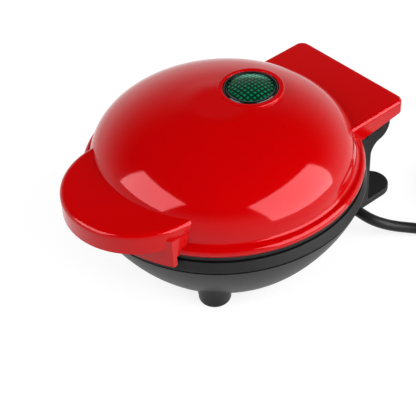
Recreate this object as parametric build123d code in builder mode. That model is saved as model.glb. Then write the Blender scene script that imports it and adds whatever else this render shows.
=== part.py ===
from build123d import *
from math import cos, pi, radians, sin, tan
import os

os.makedirs("parts", exist_ok=True)

# A mini waffle maker: a round base and a round lid on a rear hinge, in millimetres.
# The origin is on the table under the middle of the grid plates. X is to the right,
# Y runs back to the hinge and Z is up. The lid is closed.

# Clearances
closing_gap = 0.3
fit_gap = 0.3
seat_gap = 0.1
pin_clearance = 0.05

# Shells
shell_wall = 2.2
parting_height = 43.0
rim_radius = 64.0
rim_thickness = 3.0
rim_rounding = 1.2
ring_wall = 7.1
lid_ring_thickness = 2.5
lid_ring_inset = 0.5
dome_inset = 3.7
dome_height = 28.8
dome_power = 2.4
dome_points = 9

# Base bowl and its ring
bowl_clearance = 6.0
bowl_floor_inset = 18.5
bowl_floor_rounding = 6.0
bowl_bulge = 1.75
lip_overhang = 1.0
lip_depth = 6.5
ring_flare = 1.3
ring_skirt = 5.5
ring_chamfer = 0.8
groove_depth = 1.5
spigot_depth = 3.0
spigot_wall = 1.8

# Grid plates
cavity_depth = 8.0
plate_wall = 1.2
plate_floor = 3.0
flange_width = 2.6
flange_thickness = 3.0
cavity_rounding = 1.5
pin_rows = 6
grid_pin_inset = 2.8
grid_pin_margin = 0.2
pin_channel = 5.0
grid_pin_height = 5.5
grid_pin_corner = 2.0
grid_pin_taper = 12.0
ledge_thickness = 2.0

# Heaters and their shields
heater_inset = 12.0
heater_tube_radius = 3.2
heater_opening_angle = 40.0
heater_overshoot = 5.0
heater_leg = 4.2
cold_pin_radius = 0.9
cold_pin_length = 2.5
boss_inset = 21.0
boss_radius = 3.6
boss_count = 3
boss_height = 7.2
pillar_wall = 1.0
shield_thickness = 0.8
shield_floor_inset = 4.0
thermostat_radius = 7.5
thermostat_height = 9.5
fuse_radius = 2.0
fuse_length = 14.0
fuse_forward = 20.0

# Hinge
hinge_overhang = 4.7
hinge_rise = 2.4
barrel_radius = 7.3
hinge_pin_radius = 1.75
lid_barrel_half = 20.1
tower_half = 31.75
web_clearance = 1.0

# Rear housing, called the tower
tower_depth = 21.2
tower_back_inset = 4.5
tower_lean = 1.0
tower_neck_rounding = 7.0
stand_thickness = 2.9
stand_pad_stand_off = 0.6
stand_front_inset = 4.0
stand_half = 31.5
stand_overhang = 14.7
stand_lobe_radius = 9.2
stand_notch = 7.5
stand_edge_rounding = 0.8
pad_radius = 5.0
pad_recess = 0.8

# Hinge cover on the lid
cover_side_gap = 0.55
cover_overhang = 14.3
cover_rise = 13.3
cover_front_edge_rise = 4.1
cover_slope = 2.9
cover_corner = 4.5
cover_edge_rounding = 1.6

# Handle on the lid
handle_overhang = 17.5
handle_radius = 34.75
handle_rise = 17.2
handle_thickness = 9.9
handle_edge_rounding = 2.2
root_gap = 1.8
root_wall = 1.7
root_drop = 2.0
underside_recess = 1.3
underside_thickness = 1.6

# Indicator light on the dome
light_back = 18.0
light_rise = 34.6
collar_radius = 14.8
light_bore_radius = 12.7
bezel_wall = 1.3
lens_rise = 2.0
lens_thickness = 2.0
bezel_depth = 7.5
lamp_radius = 2.9
lamp_length = 11.5

# Feet
foot_side = 28.0
foot_forward = 31.6
foot_top_radius = 7.6
foot_bottom_radius = 6.4
foot_rounding = 1.5
foot_height = 16.0

# Screws
screw_radius = 1.5
screw_head_radius = 2.8
screw_head_height = 2.0
screw_bite = 4.8
screw_room = 1.0
small_screw_radius = 1.2
small_head_radius = 2.2
small_head_height = 1.2
small_screw_bite = 4.0
small_boss_radius = 3.0
lid_screw_side = 26.0
lid_screw_inset = 13.2
handle_screw_side = 16.0
handle_screw_inset = 10.0
stand_screw_side = 25.5
stand_screw_inset = 10.7

# Cord, at its exit in the right side of the tower
cord_diameter = 5.2
cord_exit_inset = 6.3
cord_exit_height = 9.6
relief_length = 20.0
relief_radius = 3.8
relief_inner_length = 11.2
relief_groove_gap = 0.2

# Put-away coil, and the plug at its end
coil_middle_radius = 28.5
coil_pitch = 6.8
coil_layer_rise = 5.8
coil_start_angle = -50.0
coil_half_turns_in = 4
coil_half_turns_out = 3
coil_last_turn = 140.0
coil_approach = 17.2
tail_run = 8.0
plug_width = 24.0
plug_thickness = 15.0
plug_neck_wall = 0.6
plug_neck_length = 12.0
plug_shoulder = 8.0
plug_grip = 14.0
plug_edge = 1.0
blade_spacing = 12.7
blade_width = 6.35
blade_thickness = 1.5
blade_length = 16.0

# Terminal block and the wires inside the base
block_half = 18.0
block_depth = 7.2
block_height = 10.0
wire_radius = 1.1

# Heights and radii that follow from the sizes above
rim_bottom = parting_height + closing_gap + lid_ring_thickness
rim_top = rim_bottom + rim_thickness
dome_radius = rim_radius - dome_inset
lid_face = parting_height + closing_gap
mirror_height = parting_height + closing_gap / 2
hinge_height = parting_height + hinge_rise
cover_half = tower_half + cover_side_gap + shell_wall
cover_top = parting_height + cover_rise
handle_top = parting_height + handle_rise
handle_bottom = handle_top - handle_thickness
handle_reach = rim_radius + handle_overhang
handle_screw_forward = handle_reach - handle_screw_inset
handle_middle = handle_reach - handle_radius
root_radius = rim_radius + root_gap
lip_radius = rim_radius + lip_overhang
lip_height = parting_height - lip_depth
ring_bore = rim_radius - ring_wall
flange_radius = ring_bore - fit_gap
cavity_radius = flange_radius - flange_width
body_radius = cavity_radius + plate_wall
grid_circle_radius = cavity_radius - grid_pin_inset
pin_pitch = 2 * (grid_circle_radius - grid_pin_margin) / pin_rows
grid_pin_width = pin_pitch - pin_channel
heater_loop_radius = cavity_radius - heater_inset
boss_circle_radius = cavity_radius - boss_inset
shield_floor_radius = cavity_radius - shield_floor_inset
bowl_floor_radius = rim_radius - bowl_floor_inset
hinge_back = rim_radius + hinge_overhang
tower_back = hinge_back - tower_back_inset
tower_front = tower_back - tower_depth
stand_front = tower_front + stand_front_inset
stand_reach = hinge_back + stand_overhang
stand_screw_back = hinge_back - stand_screw_inset
cover_reach = hinge_back + cover_overhang
lid_screw_back = hinge_back - lid_screw_inset
cord_exit_back = tower_front + cord_exit_inset
ledge_bore = body_radius + fit_gap
plate_depth = cavity_depth + plate_floor
plate_bottom = parting_height - plate_depth
boss_bottom = plate_bottom - boss_height
shield_bottom = boss_bottom - shield_thickness
ledge_top = parting_height - flange_thickness - seat_gap
ledge_bottom = ledge_top - ledge_thickness
heater_height = plate_bottom - seat_gap - heater_tube_radius
tower_floor = stand_pad_stand_off + stand_thickness
light_height = parting_height + light_rise
thread_gap = pin_clearance


def dome_outline(radius, height, bottom):
    """The points of a dome's rounded outline, from its foot to its top."""
    steps = [radians(90 * step / (dome_points - 1)) for step in range(dome_points)]
    return [
        (radius * cos(a) ** (2 / dome_power), bottom + height * sin(a) ** (2 / dome_power))
        for a in steps
    ]


def revolve_dome(radius, height, bottom):
    """A solid dome on a flat circle, added to the part in progress."""
    with BuildSketch(Plane.XZ) as section:
        with BuildLine():
            points = dome_outline(radius, height, bottom)
            Spline(*points, tangents=((0, 1), (-1, 0)))
            Polyline(points[-1], (0, bottom), points[0])
        make_face()
    revolve(section.sketch, axis=Axis.Z)


def revolve_outline(*points):
    """A solid turned about the upright axis from an outline of straight lines."""
    with BuildSketch(Plane.XZ) as section:
        with BuildLine():
            Polyline(*points, close=True)
        make_face()
    revolve(section.sketch, axis=Axis.Z)


# Solids that several pieces are cut by
with BuildPart() as dome_outside:
    revolve_dome(dome_radius, dome_height, rim_top)
    with BuildSketch(Plane.XY.offset(rim_bottom)):
        Circle(dome_radius)
    extrude(amount=rim_thickness)

with BuildPart() as dome_inside:
    revolve_dome(dome_radius - shell_wall, dome_height - shell_wall, rim_top)
    with BuildSketch(Plane.XY.offset(parting_height)):
        Circle(dome_radius - shell_wall)
    extrude(amount=rim_top - parting_height)

with BuildPart() as lid_barrel_space:
    with BuildSketch(Plane.YZ.offset(-lid_barrel_half - fit_gap)):
        with Locations((hinge_back, hinge_height)):
            Circle(barrel_radius)
    extrude(amount=2 * (lid_barrel_half + fit_gap))


def bowl_outline(inset):
    """The bowl's outline, drawn in by a wall's thickness, as a closed face."""
    bottom = bowl_clearance + inset
    with BuildLine() as outline:
        foot = (bowl_floor_radius - inset, bottom)
        lip = (lip_radius - inset, lip_height)
        SagittaArc(foot, lip, -bowl_bulge)
        Polyline(lip, (0, lip_height), (0, bottom), foot)
    make_face(outline.edges())


with BuildPart() as bowl_outside:
    with BuildSketch(Plane.XZ) as bowl_section:
        bowl_outline(0)
        corner = bowl_section.vertices().filter_by(lambda v: v.X > shell_wall).sort_by(Axis.Y)[0]
        fillet(corner, bowl_floor_rounding)
    revolve(axis=Axis.Z)

with BuildPart() as bowl_inside:
    with BuildSketch(Plane.XZ) as bowl_space:
        bowl_outline(shell_wall)
        corner = bowl_space.vertices().filter_by(lambda v: v.X > shell_wall).sort_by(Axis.Y)[0]
        fillet(corner, bowl_floor_rounding - shell_wall)
    revolve(axis=Axis.Z)

# Grid pins: the blunt pegs that press the waffle's pockets, cut to a circle
with BuildPart() as grid_pins:
    with BuildSketch(Plane.XY.offset(parting_height - cavity_depth)):
        with GridLocations(pin_pitch, pin_pitch, pin_rows, pin_rows):
            RectangleRounded(grid_pin_width, grid_pin_width, grid_pin_corner)
    extrude(amount=grid_pin_height, taper=grid_pin_taper)
    with BuildSketch(Plane.XY.offset(parting_height - cavity_depth)):
        Circle(grid_circle_radius)
    extrude(amount=cavity_depth, mode=Mode.INTERSECT)

# Lower grid plate: a shallow pan with a flange, a grid of blunt pins and bosses below
with BuildPart() as lower_grid_plate:
    revolve_outline(
        (0, plate_bottom),
        (body_radius, plate_bottom),
        (body_radius, parting_height - flange_thickness),
        (flange_radius, parting_height - flange_thickness),
        (flange_radius, parting_height - cavity_rounding / 2),
        (flange_radius - cavity_rounding / 2, parting_height),
        (cavity_radius, parting_height),
        (cavity_radius - cavity_rounding, parting_height - cavity_depth),
        (0, parting_height - cavity_depth),
    )
    add(grid_pins.part)
    with BuildSketch(Plane.XY.offset(plate_bottom)):
        with PolarLocations(boss_circle_radius, boss_count, start_angle=90):
            Circle(boss_radius)
    extrude(amount=-boss_height)
    with BuildSketch(Plane.XY.offset(boss_bottom)):
        with PolarLocations(boss_circle_radius, boss_count, start_angle=90):
            Circle(screw_radius + thread_gap)
    extrude(amount=screw_bite + screw_room, mode=Mode.SUBTRACT)
lower_grid_plate.part.label = "lower_grid_plate"

# Lower heater: a bent tube pressed to the plate, with cold pins at its ends
heater_ends = [
    Vector(heater_loop_radius, 0, heater_height).rotate(Axis.Z, 90 + turn)
    for turn in (-heater_opening_angle / 2, heater_opening_angle / 2)
]
heater_turn = 360 - heater_opening_angle + 2 * heater_overshoot
with BuildPart() as lower_heater:
    with BuildLine(Plane.XY.offset(heater_height)) as heater_loop:
        start_angle = 90 + heater_opening_angle / 2 - heater_overshoot
        CenterArc((0, 0), heater_loop_radius, start_angle, heater_turn)
    with BuildSketch(Plane(origin=heater_loop.wire() @ 0, z_dir=heater_loop.wire() % 0)):
        Circle(heater_tube_radius)
    sweep(path=heater_loop.wire())
    for end in heater_ends:
        with BuildSketch(Plane(end)):
            Circle(heater_tube_radius - seat_gap)
        extrude(amount=-heater_leg - heater_tube_radius)
        with BuildSketch(Plane(end - (0, 0, heater_leg + heater_tube_radius))):
            Circle(cold_pin_radius)
        extrude(amount=-cold_pin_length)
lower_heater.part.label = "lower_heater"

# Lower heat shield: a pressed pan under the heater, clamped between ring and screws
shield_edge = dome_radius - shell_wall - seat_gap - shield_thickness
with BuildPart() as lower_heat_shield:
    revolve_outline(
        (0, shield_bottom),
        (shield_floor_radius, shield_bottom),
        (ledge_bore + shield_thickness, plate_bottom),
        (ledge_bore + shield_thickness, ledge_bottom - seat_gap - shield_thickness),
        (shield_edge, ledge_bottom - seat_gap - shield_thickness),
        (shield_edge, ledge_bottom - seat_gap),
        (ledge_bore, ledge_bottom - seat_gap),
        (ledge_bore, plate_bottom),
        (shield_floor_radius - shield_thickness, boss_bottom),
        (0, boss_bottom),
    )
    with BuildSketch(Plane.XY.offset(shield_bottom)):
        Circle(thermostat_radius + fit_gap)
        with PolarLocations(boss_circle_radius, boss_count, start_angle=90):
            Circle(screw_radius + fit_gap)
        with Locations(*[(end.X, end.Y) for end in heater_ends]):
            Circle(heater_tube_radius + fit_gap)
    extrude(amount=shield_thickness, mode=Mode.SUBTRACT)
lower_heat_shield.part.label = "lower_heat_shield"


def mirrored_up(piece, name):
    """The lid's copy of a base piece, which faces it across the parting plane."""
    copy = mirror(piece, about=Plane.XY.offset(mirror_height), mode=Mode.PRIVATE)
    copy.label = name
    return copy


upper_grid_plate = mirrored_up(lower_grid_plate.part, "upper_grid_plate")
upper_heater = mirrored_up(lower_heater.part, "upper_heater")

# Upper heat shield, whole in the middle
with BuildPart() as upper_heat_shield:
    add(mirrored_up(lower_heat_shield.part, "upper_heat_shield"))
    with BuildSketch(Plane.XY.offset(2 * mirror_height - boss_bottom)):
        Circle(thermostat_radius + 2 * fit_gap)
    extrude(amount=shield_thickness)
upper_heat_shield.part.label = "upper_heat_shield"

# Thermostat: a round snap-disc case against the lower plate, with two tabs
with BuildPart() as thermostat:
    with BuildSketch(Plane.XY.offset(plate_bottom - seat_gap)):
        Circle(thermostat_radius)
    extrude(amount=-thermostat_height)
    fillet(thermostat.edges().group_by(Axis.Z)[0], thermostat_radius / 8)
    with BuildSketch(Plane.XY.offset(plate_bottom - seat_gap - thermostat_height)):
        with GridLocations(thermostat_radius, 1, 2, 1):
            Rectangle(shield_thickness, thermostat_radius / 2)
    extrude(amount=-thermostat_radius / 2)
thermostat.part.label = "thermostat"

# Thermal fuse: a small cylinder that lies on the upper heat shield
fuse_height = 2 * mirror_height - shield_bottom + seat_gap + fuse_radius
with BuildPart() as thermal_fuse:
    with BuildSketch(Plane.YZ.offset(-fuse_length / 2)):
        with Locations((-fuse_forward, fuse_height)):
            Circle(fuse_radius)
    extrude(amount=fuse_length)
    chamfer(thermal_fuse.edges(), fuse_radius / 4)
thermal_fuse.part.label = "thermal_fuse"

# Base ring: the black band round the lower plate, with a ledge for the plate's flange
with BuildPart() as base_ring:
    revolve_outline(
        (ring_bore, parting_height),
        (rim_radius - ring_chamfer, parting_height),
        (rim_radius, parting_height - ring_chamfer),
        (rim_radius + ring_flare, parting_height - ring_skirt + ring_chamfer),
        (rim_radius + ring_flare, parting_height - ring_skirt),
        (lip_radius - groove_depth, parting_height - ring_skirt),
        (lip_radius - groove_depth, lip_height),
        (lip_radius - shell_wall - groove_depth, lip_height),
        (lip_radius - shell_wall - groove_depth, lip_height - spigot_depth),
        (lip_radius - shell_wall - groove_depth - spigot_wall, lip_height - spigot_depth),
        (lip_radius - shell_wall - groove_depth - spigot_wall, ledge_bottom),
        (ledge_bore, ledge_bottom),
        (ledge_bore, ledge_top),
        (ring_bore, ledge_top),
    )
    add(offset(lid_barrel_space.part, fit_gap, mode=Mode.PRIVATE), mode=Mode.SUBTRACT)
base_ring.part.label = "base_ring"

# Base bowl: a round shell, with the rear tower that carries the hinge ears
tower_plane = Plane.YZ.offset(-tower_half)
with BuildPart() as tower_outside:
    with BuildSketch(tower_plane) as tower_section:
        with BuildLine():
            Polyline(
                (tower_front, tower_floor),
                (tower_back - tower_lean, tower_floor),
                (tower_back, hinge_height),
                (hinge_back - barrel_radius, hinge_height),
                (hinge_back - barrel_radius, lip_height),
                (tower_front, lip_height),
                close=True,
            )
        make_face()
        with Locations((hinge_back, hinge_height)):
            Circle(barrel_radius)
        neck = tower_section.vertices().filter_by(
            lambda v: v.X > hinge_back - barrel_radius + fit_gap and v.Y > lip_height
        )
        fillet(neck.sort_by(Axis.Y)[0], tower_neck_rounding)
    extrude(amount=2 * tower_half)

with BuildPart() as tower_inside:
    with BuildSketch(Plane.YZ.offset(shell_wall - tower_half)):
        with BuildLine():
            Polyline(
                (tower_front + shell_wall, tower_floor + shell_wall),
                (tower_back - tower_lean - shell_wall, tower_floor + shell_wall),
                (tower_back - tower_lean - shell_wall, lip_height - spigot_depth),
                (tower_front + shell_wall, lip_height - spigot_depth),
                close=True,
            )
        make_face()
    extrude(amount=2 * (tower_half - shell_wall))

pillar_floor = bowl_clearance + shell_wall
stand_screw_places = [(side * stand_screw_side, stand_screw_back) for side in (-1, 1)]
with BuildPart() as base_bowl:
    add(bowl_outside.part)
    add(tower_outside.part)
    with BuildSketch(Plane.XY.offset(lip_height)):
        Circle(rim_radius + ring_flare + seat_gap)
    extrude(amount=lip_depth, mode=Mode.SUBTRACT)
    add(bowl_inside.part, mode=Mode.SUBTRACT)
    add(tower_inside.part, mode=Mode.SUBTRACT)
    with BuildSketch(Plane.XY.offset(pillar_floor)):
        with PolarLocations(boss_circle_radius, boss_count, start_angle=90):
            Circle(boss_radius + pillar_wall)
    extrude(amount=shield_bottom - pillar_floor)
    with BuildSketch(Plane.XY.offset(tower_floor + shell_wall)):
        with Locations(*stand_screw_places):
            Circle(small_boss_radius)
    extrude(amount=small_screw_bite + shell_wall)
    with BuildSketch(Plane.XY.offset(bowl_clearance)):
        with PolarLocations(boss_circle_radius, boss_count, start_angle=90):
            Circle(screw_head_radius + fit_gap)
    extrude(amount=shell_wall + screw_head_height, mode=Mode.SUBTRACT)
    with BuildSketch(Plane.XY.offset(bowl_clearance)):
        with PolarLocations(boss_circle_radius, boss_count, start_angle=90):
            Circle(screw_radius + fit_gap)
    extrude(amount=shield_bottom - bowl_clearance, mode=Mode.SUBTRACT)
    with BuildSketch(Plane.XY.offset(tower_floor)):
        with Locations(*stand_screw_places):
            Circle(small_screw_radius + thread_gap)
    extrude(amount=small_screw_bite + shell_wall, mode=Mode.SUBTRACT)
    add(offset(lid_barrel_space.part, fit_gap, mode=Mode.PRIVATE), mode=Mode.SUBTRACT)
    with BuildSketch(Plane.YZ.offset(-tower_half)):
        with Locations((hinge_back, hinge_height)):
            Circle(hinge_pin_radius + pin_clearance)
    extrude(amount=2 * tower_half, mode=Mode.SUBTRACT)
    with BuildSketch(Plane.YZ.offset(tower_half - 2 * shell_wall)):
        with Locations((cord_exit_back, cord_exit_height)):
            Circle(relief_radius - relief_groove_gap)
    extrude(amount=3 * shell_wall, mode=Mode.SUBTRACT)
base_bowl.part.label = "base_bowl"

# Hinge pin, kept in by the side walls of the hinge cover
with BuildPart() as hinge_pin:
    with BuildSketch(Plane.YZ.offset(-tower_half)):
        with Locations((hinge_back, hinge_height)):
            Circle(hinge_pin_radius)
    extrude(amount=2 * tower_half)
    chamfer(hinge_pin.edges(), hinge_pin_radius / 4)
hinge_pin.part.label = "hinge_pin"

# Rear stand: a flat foot behind the tower, with two lobes that also hold wound cord
lobe_side = stand_half - stand_lobe_radius
lobe_back = stand_reach - stand_lobe_radius
with BuildPart() as rear_stand:
    with BuildSketch(Plane.XY.offset(stand_pad_stand_off)) as stand_outline:
        with BuildLine():
            Polyline(
                (-stand_half, stand_front),
                (stand_half, stand_front),
                (stand_half, lobe_back),
                (lobe_side, stand_reach - stand_notch),
                (-lobe_side, stand_reach - stand_notch),
                (-stand_half, lobe_back),
                close=True,
            )
        make_face()
        with Locations((-lobe_side, lobe_back), (lobe_side, lobe_back)):
            Circle(stand_lobe_radius)
    extrude(amount=stand_thickness)
    fillet(rear_stand.edges().group_by(Axis.Z)[-1], stand_edge_rounding)
    with BuildSketch(Plane.XY.offset(stand_pad_stand_off)):
        with Locations((-lobe_side, lobe_back), (lobe_side, lobe_back)):
            Circle(pad_radius + seat_gap)
    extrude(amount=pad_recess, mode=Mode.SUBTRACT)
    with BuildSketch(Plane.XY.offset(stand_pad_stand_off)):
        with Locations(*stand_screw_places):
            Circle(small_head_radius + fit_gap)
    extrude(amount=small_head_height, mode=Mode.SUBTRACT)
    with BuildSketch(Plane.XY.offset(stand_pad_stand_off)):
        with Locations(*stand_screw_places):
            Circle(small_screw_radius + fit_gap)
    extrude(amount=stand_thickness, mode=Mode.SUBTRACT)
rear_stand.part.label = "rear_stand"

# Rear pads: rubber discs in the stand's recesses
with BuildPart() as rear_pads:
    with BuildSketch():
        with Locations((-lobe_side, lobe_back), (lobe_side, lobe_back)):
            Circle(pad_radius)
    extrude(amount=stand_pad_stand_off + pad_recess)
    fillet(rear_pads.edges().group_by(Axis.Z)[0], stand_pad_stand_off / 2)
rear_pads.part.label = "rear_pads"


def front_foot(side, name):
    """One blunt rubber foot, shaped to the bowl's rounded corner above it."""
    place = (side * foot_side, -foot_forward)
    with BuildPart() as foot:
        with BuildSketch(Plane.XY):
            with Locations(place):
                Circle(foot_bottom_radius)
        with BuildSketch(Plane.XY.offset(foot_height)):
            with Locations(place):
                Circle(foot_top_radius)
        loft()
        fillet(foot.edges().group_by(Axis.Z)[0], foot_rounding)
        add(offset(bowl_outside.part, seat_gap, mode=Mode.PRIVATE), mode=Mode.SUBTRACT)
    foot.part.label = name
    return foot.part


front_foot_left = front_foot(-1, "front_foot_left")
front_foot_right = front_foot(1, "front_foot_right")

# Lid cover: dome, rim, hinge cover and handle in one glossy moulding
cover_inner_half = cover_half - shell_wall
front_aligned = (Align.CENTER, Align.MAX)
handle_plane = Plane.XY.offset(handle_bottom)


def handle_outline(radius, half):
    """The handle seen from above: a half disc that runs back under the dome."""
    with Locations((0, -handle_middle)):
        Circle(radius)
        Rectangle(2 * half, handle_middle, align=(Align.CENTER, Align.MIN))


with BuildPart() as handle_outside:
    with BuildSketch(handle_plane):
        handle_outline(handle_radius, handle_radius)
    extrude(amount=handle_thickness)
    rim_edges = handle_outside.edges().group_by(Axis.Z)[-1]
    fillet(rim_edges.filter_by(lambda e: e.center().Y < -fit_gap), handle_edge_rounding)

with BuildPart() as root_outside:
    with BuildSketch(Plane.XY.offset(parting_height - root_drop)):
        Circle(root_radius + root_wall)
        Rectangle(
            2 * handle_radius, root_radius + root_wall, align=front_aligned, mode=Mode.INTERSECT
        )
    extrude(amount=handle_bottom + handle_thickness / 2 - parting_height + root_drop)
    with BuildSketch(Plane.XY.offset(parting_height - root_drop)):
        Circle(root_radius)
    extrude(amount=root_drop + rim_bottom - parting_height, mode=Mode.SUBTRACT)

with BuildPart() as cover_box_outside:
    with BuildSketch(Plane.YZ.offset(-cover_half)):
        with BuildLine():
            Polyline(
                (dome_radius / 2, parting_height + cover_front_edge_rise),
                (hinge_back - 2 * barrel_radius, parting_height + cover_front_edge_rise),
                (cover_reach, parting_height + cover_front_edge_rise + cover_slope),
                (cover_reach, cover_top),
                (dome_radius / 2, cover_top),
                close=True,
            )
        make_face()
    extrude(amount=2 * cover_half)
    uprights = cover_box_outside.edges().filter_by(Axis.Z)
    fillet(uprights.group_by(Axis.Y)[-1], cover_corner)
    top_edges = cover_box_outside.edges().group_by(Axis.Z)[-1]
    fillet(top_edges.filter_by(lambda e: e.center().Y > dome_radius / 2 + fit_gap), cover_edge_rounding)

with BuildPart() as cover_box_inside:
    with BuildSketch(Plane.XY.offset(parting_height)):
        with Locations((0, hinge_back - 3 * barrel_radius)):
            Rectangle(
                2 * cover_inner_half,
                cover_reach - shell_wall - hinge_back + 3 * barrel_radius,
                align=(Align.CENTER, Align.MIN),
            )
    extrude(amount=cover_rise - shell_wall)
    uprights = cover_box_inside.edges().filter_by(Axis.Z)
    fillet(uprights.group_by(Axis.Y)[-1], cover_corner - shell_wall)
    add(dome_outside.part, mode=Mode.SUBTRACT)
    with BuildSketch(Plane.XY.offset(rim_bottom)):
        Circle(rim_radius)
    extrude(amount=rim_thickness, mode=Mode.SUBTRACT)

with BuildPart() as root_pocket:
    with BuildSketch(Plane.XY.offset(rim_bottom)):
        Circle(root_radius)
        Rectangle(
            2 * (handle_radius - shell_wall), root_radius, align=front_aligned, mode=Mode.INTERSECT
        )
    extrude(amount=handle_top - shell_wall - rim_bottom)
    add(dome_outside.part, mode=Mode.SUBTRACT)

with BuildPart() as handle_pocket:
    with BuildSketch(handle_plane):
        handle_outline(handle_radius - shell_wall, handle_radius - shell_wall)
        Circle(root_radius + root_wall, mode=Mode.SUBTRACT)
    extrude(amount=handle_thickness - shell_wall)

handle_screw_places = [(side * handle_screw_side, -handle_screw_forward) for side in (-1, 1)]
lid_screw_places = [(side * lid_screw_side, lid_screw_back) for side in (-1, 1)]
underside_bottom = handle_bottom + underside_recess
underside_top = underside_bottom + underside_thickness
with BuildPart() as lid_cover:
    with BuildSketch(Plane.XY.offset(rim_bottom)):
        Circle(rim_radius)
    extrude(amount=rim_thickness)
    fillet(lid_cover.edges().group_by(Axis.Z)[-1], rim_rounding)
    add(dome_outside.part)
    add(cover_box_outside.part)
    add(handle_outside.part)
    add(root_outside.part)
    with BuildSketch(Plane.XY.offset(rim_top)):
        with Locations((0, light_back)):
            Circle(collar_radius)
    extrude(amount=light_height - rim_top)
    add(dome_inside.part, mode=Mode.SUBTRACT)
    add(cover_box_inside.part, mode=Mode.SUBTRACT)
    add(root_pocket.part, mode=Mode.SUBTRACT)
    add(handle_pocket.part, mode=Mode.SUBTRACT)
    add(offset(lid_barrel_space.part, fit_gap, mode=Mode.PRIVATE), mode=Mode.SUBTRACT)
    with BuildSketch(Plane.XY.offset(underside_top + seat_gap)):
        with Locations(*handle_screw_places):
            Circle(small_boss_radius)
    extrude(amount=handle_top - shell_wall - underside_top - seat_gap)
    with BuildSketch(Plane.XY.offset(underside_top)):
        with Locations(*handle_screw_places):
            Circle(small_screw_radius + thread_gap)
    extrude(amount=small_screw_bite, mode=Mode.SUBTRACT)
    with BuildSketch(Plane.XY.offset(rim_bottom)):
        with Locations(*lid_screw_places):
            Circle(small_boss_radius)
    extrude(amount=cover_top - shell_wall - rim_bottom)
    with BuildSketch(Plane.XY.offset(rim_bottom)):
        with Locations(*lid_screw_places):
            Circle(small_screw_radius + thread_gap)
    extrude(amount=small_screw_bite, mode=Mode.SUBTRACT)
    with BuildSketch(Plane.XY.offset(rim_top)):
        with Locations((0, light_back)):
            Circle(light_bore_radius)
    extrude(amount=2 * dome_height, mode=Mode.SUBTRACT)
lid_cover.part.label = "lid_cover"

# Lid liner: the black ring round the upper plate, with tongues to handle and hinge
tongue_back = hinge_back - barrel_radius - web_clearance
liner_radius = rim_radius - lid_ring_inset
tongue_half = handle_radius - shell_wall - fit_gap
with BuildPart() as lid_liner:
    with BuildSketch(Plane.XY.offset(lid_face)):
        Circle(root_radius - fit_gap)
        Rectangle(2 * tongue_half, root_radius, align=front_aligned, mode=Mode.INTERSECT)
        Circle(liner_radius)
        Rectangle(2 * (cover_inner_half - fit_gap), tongue_back, align=(Align.CENTER, Align.MIN))
        Circle(ring_bore, mode=Mode.SUBTRACT)
    extrude(amount=lid_ring_thickness)
    revolve_outline(
        (ring_bore, lid_face),
        (dome_radius - shell_wall - fit_gap, lid_face),
        (dome_radius - shell_wall - fit_gap, 2 * mirror_height - ledge_bottom),
        (ledge_bore, 2 * mirror_height - ledge_bottom),
        (ledge_bore, 2 * mirror_height - ledge_top),
        (ring_bore, 2 * mirror_height - ledge_top),
    )
    with BuildSketch(Plane.YZ.offset(-lid_barrel_half)):
        with BuildLine():
            Polyline(
                (ring_bore, lid_face),
                (hinge_back, lid_face),
                (hinge_back, rim_bottom),
                (ring_bore, rim_bottom),
                close=True,
            )
        make_face()
        with Locations((hinge_back, hinge_height)):
            Circle(barrel_radius - fit_gap)
    extrude(amount=2 * lid_barrel_half)
    with BuildSketch(Plane.XY.offset(parting_height)):
        Circle(ring_bore)
    extrude(amount=lid_ring_thickness, mode=Mode.SUBTRACT)
    with BuildSketch(Plane.YZ.offset(-tower_half)):
        with Locations((hinge_back, hinge_height)):
            Circle(hinge_pin_radius + pin_clearance)
    extrude(amount=2 * tower_half, mode=Mode.SUBTRACT)
    with BuildSketch(Plane.XY.offset(lid_face)):
        with Locations(*lid_screw_places):
            Circle(small_head_radius + fit_gap)
    extrude(amount=small_head_height, mode=Mode.SUBTRACT)
    with BuildSketch(Plane.XY.offset(lid_face)):
        with Locations(*lid_screw_places):
            Circle(small_screw_radius + fit_gap)
    extrude(amount=lid_ring_thickness, mode=Mode.SUBTRACT)
lid_liner.part.label = "lid_liner"

# Handle underside: the black crescent that closes the handle from below
with BuildPart() as handle_underside:
    with BuildSketch(Plane.XY.offset(underside_bottom)):
        handle_outline(handle_radius - shell_wall - seat_gap, handle_radius - shell_wall - seat_gap)
        Circle(root_radius + root_wall + seat_gap, mode=Mode.SUBTRACT)
        with Locations(*handle_screw_places):
            Circle(small_screw_radius + fit_gap, mode=Mode.SUBTRACT)
    extrude(amount=underside_thickness)
handle_underside.part.label = "handle_underside"

# Indicator light: a black cup, a domed green lens and a small lamp below it
bezel_top = light_height - bezel_wall / 2
bezel_radius = light_bore_radius - seat_gap
with BuildPart() as lens_bezel:
    with BuildSketch(Plane.XY.offset(bezel_top)):
        with Locations((0, light_back)):
            Circle(bezel_radius)
    extrude(amount=-bezel_depth)
    with BuildSketch(Plane.XY.offset(bezel_top)):
        with Locations((0, light_back)):
            Circle(bezel_radius - bezel_wall)
    extrude(amount=bezel_wall - bezel_depth, mode=Mode.SUBTRACT)
    with BuildSketch(Plane.XY.offset(bezel_top)):
        with Locations((0, light_back)):
            Circle(lamp_radius + seat_gap)
    extrude(amount=-bezel_depth, mode=Mode.SUBTRACT)
lens_bezel.part.label = "lens_bezel"

lens_radius = bezel_radius - bezel_wall - seat_gap
lens_sphere = (lens_radius**2 + lens_rise**2) / (2 * lens_rise)
with BuildPart() as indicator_lens:
    with BuildSketch(Plane.XZ.offset(-light_back)):
        with BuildLine():
            Polyline(
                (0, bezel_top + lens_rise),
                (0, bezel_top - lens_thickness),
                (lens_radius, bezel_top - lens_thickness),
                (lens_radius, bezel_top),
            )
            RadiusArc((lens_radius, bezel_top), (0, bezel_top + lens_rise), -lens_sphere)
        make_face()
    revolve(axis=Axis((0, light_back, 0), (0, 0, 1)))
indicator_lens.part.label = "indicator_lens"

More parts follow.
